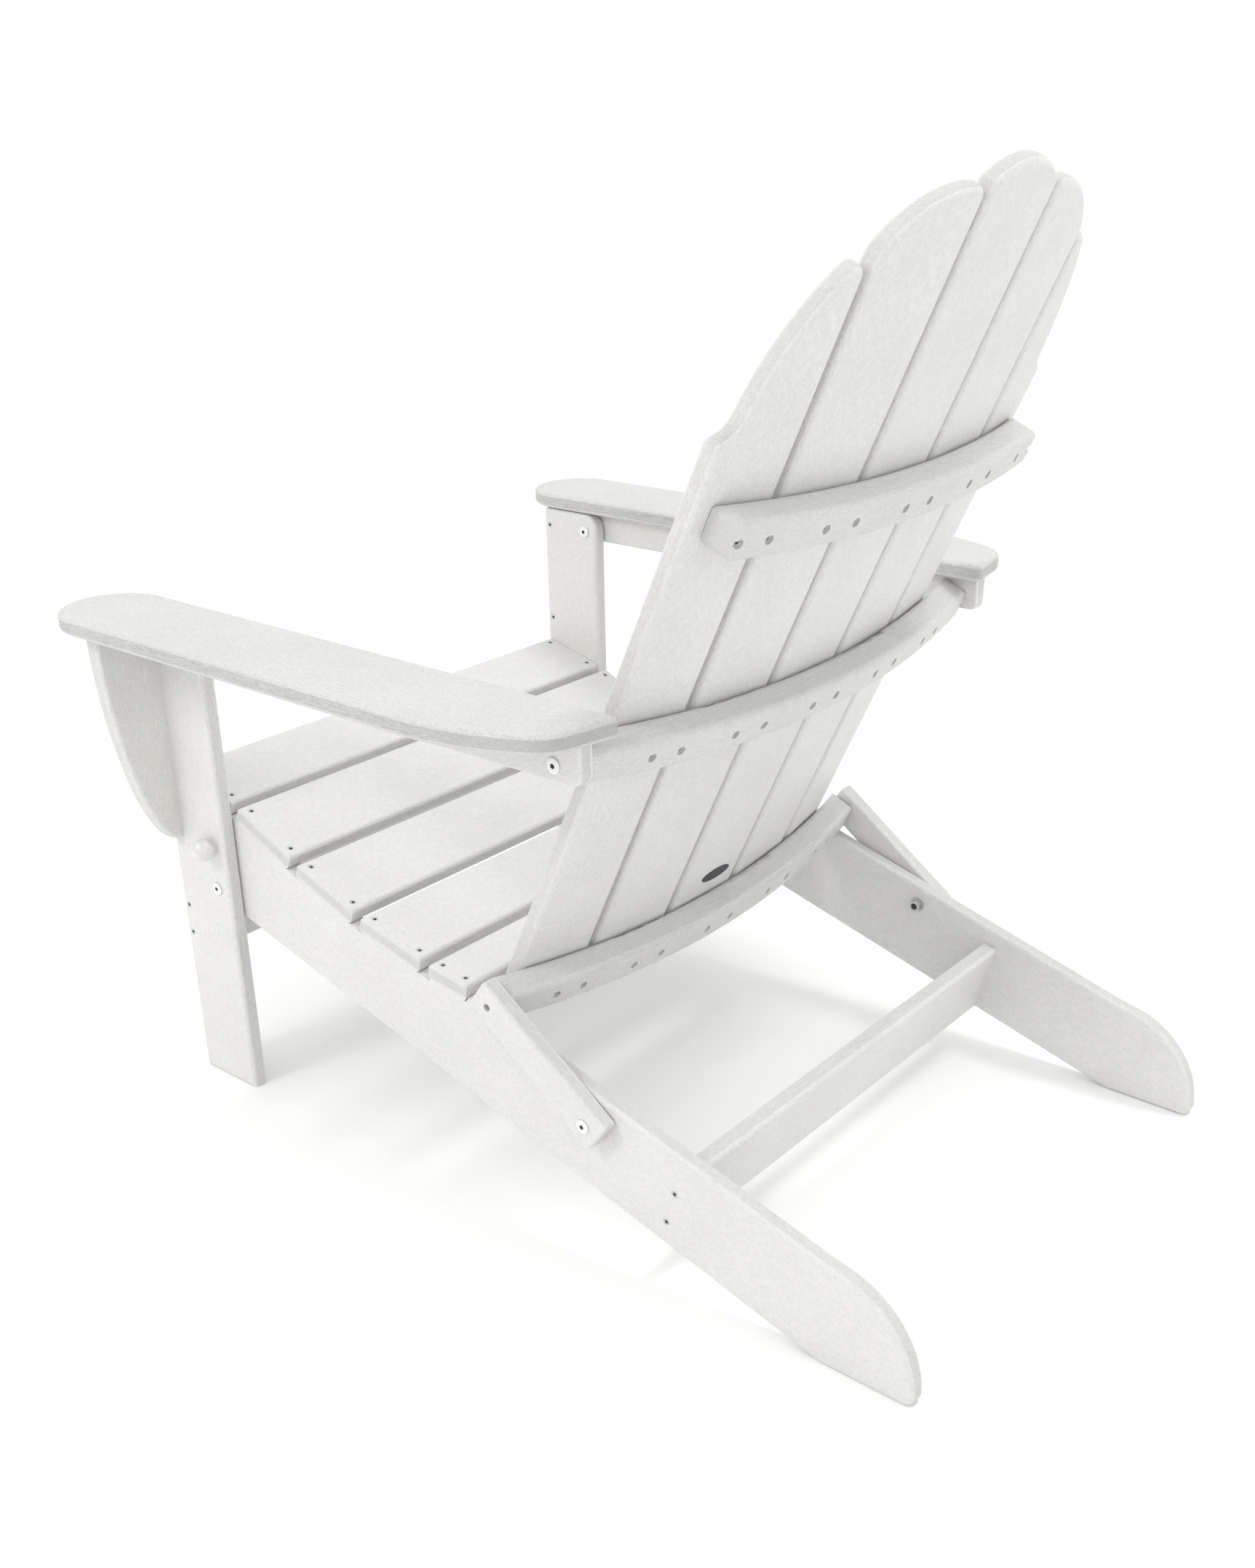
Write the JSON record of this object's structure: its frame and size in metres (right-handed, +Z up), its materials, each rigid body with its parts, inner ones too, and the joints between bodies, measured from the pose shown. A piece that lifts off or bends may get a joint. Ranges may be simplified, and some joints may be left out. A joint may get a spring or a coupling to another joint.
{
  "type": "folding adirondack chair",
  "caption": "Folding adirondack chair of white plastic boards, with wide arms, a fan back and a sloping slatted seat.",
  "frame": {"origin": "on the ground under the middle of the chair's overall length and width", "axes": "+Z up, the sitter faces -Y, +X is the sitter's left"},
  "size_m": [0.839, 1.01, 0.995],
  "materials": {
    "board_plastic": "white solid plastic lumber, fine embossed grain, satin",
    "peg_plastic": "smooth white moulded plastic",
    "bolt_steel": "white-coated stainless steel",
    "screw_steel": "plain stainless steel",
    "badge_metal": "plain dark plate, no marking"
  },
  "bodies": {
    "seat_frame": {"stringer_left": "board_plastic", "stringer_right": "board_plastic", "seat_slat_1": "board_plastic", "seat_slat_2": "board_plastic", "seat_slat_3": "board_plastic", "seat_slat_4": "board_plastic", "seat_slat_5": "board_plastic", "rear_stretcher": "board_plastic", "seat_screws": "screw_steel", "stretcher_screws": "screw_steel", "leg_pivot_bolts": "bolt_steel", "leg_pivot_nuts": "bolt_steel", "link_foot_bolts": "bolt_steel", "link_foot_nuts": "bolt_steel"},
    "front_legs": {"front_leg_left": "board_plastic", "front_leg_right": "board_plastic", "arm_bracket_left": "board_plastic", "arm_bracket_right": "board_plastic", "front_apron": "board_plastic", "apron_screws": "screw_steel", "bracket_screws": "screw_steel", "arm_pivot_bolts": "bolt_steel", "arm_pivot_nuts": "bolt_steel"},
    "arms": {"arm_left": "board_plastic", "arm_right": "board_plastic", "arm_rail_left": "board_plastic", "arm_rail_right": "board_plastic", "rail_screws": "screw_steel"},
    "back": {"back_slat_1": "board_plastic", "back_slat_2": "board_plastic", "back_slat_3": "board_plastic", "back_slat_4": "board_plastic", "back_slat_5": "board_plastic", "back_support_lower": "board_plastic", "back_support_middle": "board_plastic", "back_support_upper": "board_plastic", "back_screws_lower": "screw_steel", "back_screws_middle": "screw_steel", "back_screws_upper": "screw_steel", "badge_plate": "badge_metal", "back_pivot_bolts": "bolt_steel"},
    "rear_links": {"rear_link_left": "board_plastic", "rear_link_right": "board_plastic", "link_top_bolts": "bolt_steel"},
    "peg_left": {"locking_peg_left": "peg_plastic"},
    "peg_right": {"locking_peg_right": "peg_plastic"}
  },
  "joints": [
    {"name": "leg_fold", "type": "hinge", "parent": "seat_frame", "child": "front_legs", "pos_m": [0, -0.389, 0.254], "axis": [1, 0, 0], "range_deg": [0, 78]},
    {"name": "arm_follow", "type": "hinge", "parent": "front_legs", "child": "arms", "pos_m": [0, -0.389, 0.531], "axis": [1, 0, 0], "range_deg": [-62, 0]},
    {"name": "back_follow", "type": "hinge", "parent": "arms", "child": "back", "pos_m": [0, 0.14431, 0.531], "axis": [1, 0, 0], "range_deg": [0, 66.6]},
    {"name": "link_follow", "type": "hinge", "parent": "seat_frame", "child": "rear_links", "pos_m": [0, 0.146, 0.159], "axis": [1, 0, 0], "range_deg": [-44.2, 0]},
    {"name": "peg_left_slide", "type": "slide", "parent": "front_legs", "child": "peg_left", "axis": [1, 0, 0], "range_m": [0, 0.0285]},
    {"name": "peg_right_slide", "type": "slide", "parent": "front_legs", "child": "peg_right", "axis": [-1, 0, 0], "range_m": [0, 0.0285]}
  ],
  "couplings": [
    {"joint": "arm_follow", "follows": "leg_fold", "ratio": -0.79195},
    {"joint": "back_follow", "follows": "leg_fold", "ratio": 0.85101},
    {"joint": "link_follow", "follows": "leg_fold", "ratio": -0.5641},
    {"joint": "peg_left_slide", "follows": "leg_fold", "m_per_rad": 0.020568},
    {"joint": "peg_right_slide", "follows": "leg_fold", "m_per_rad": 0.020568}
  ]
}
